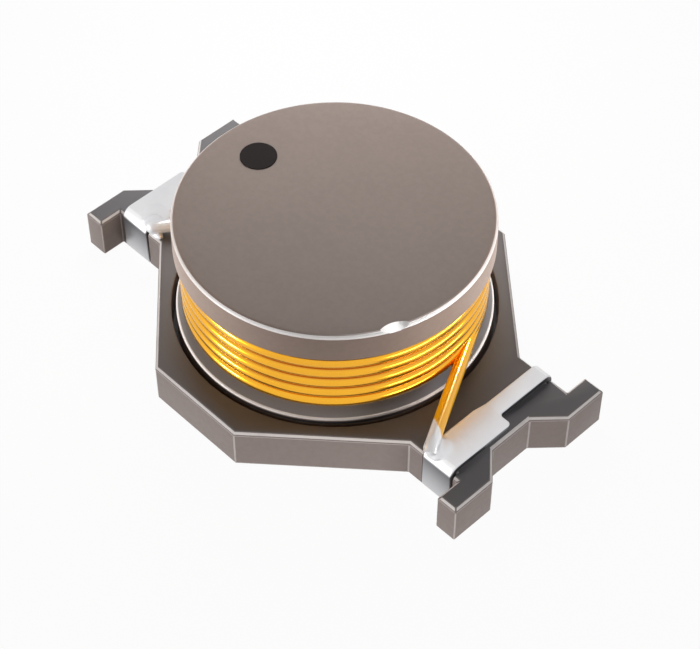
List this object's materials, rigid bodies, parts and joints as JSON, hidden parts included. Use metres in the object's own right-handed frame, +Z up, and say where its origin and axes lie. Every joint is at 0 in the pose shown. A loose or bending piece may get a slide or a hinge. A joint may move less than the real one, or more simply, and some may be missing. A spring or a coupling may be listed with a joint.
{
  "type": "unshielded surface-mount power inductor",
  "caption": "Open power inductor for surface mounting: a wound ferrite drum stands in the round pocket of an octagonal base, with a folded solder terminal round the neck at each end.",
  "frame": {"origin": "under the middle of the part, on the plane of its solder pads", "axes": "+X along the base from the start terminal, at the end of the dot, to the finish terminal; +Y across the base, away from the side of the lead-outs; +Z up, along the drum's axis"},
  "size_m": [0.013, 0.0092, 0.0042],
  "materials": {
    "base_ceramic": "fired and tumbled, dull",
    "core_ferrite": "ground and fired ferrite, dull",
    "enamelled_wire": "copper under a clear amber enamel, glossy",
    "tinned_sheet": "bright tin plate",
    "solder": "bright solder",
    "bond": "cured adhesive",
    "ink": "printed ink"
  },
  "bodies": {
    "root": {"base": "base_ceramic", "core_bond": "bond", "drum_core": "core_ferrite", "winding": "enamelled_wire", "start_terminal": "tinned_sheet", "finish_terminal": "tinned_sheet", "start_solder": "solder", "finish_solder": "solder", "polarity_dot": "ink"}
  },
  "joints": []
}
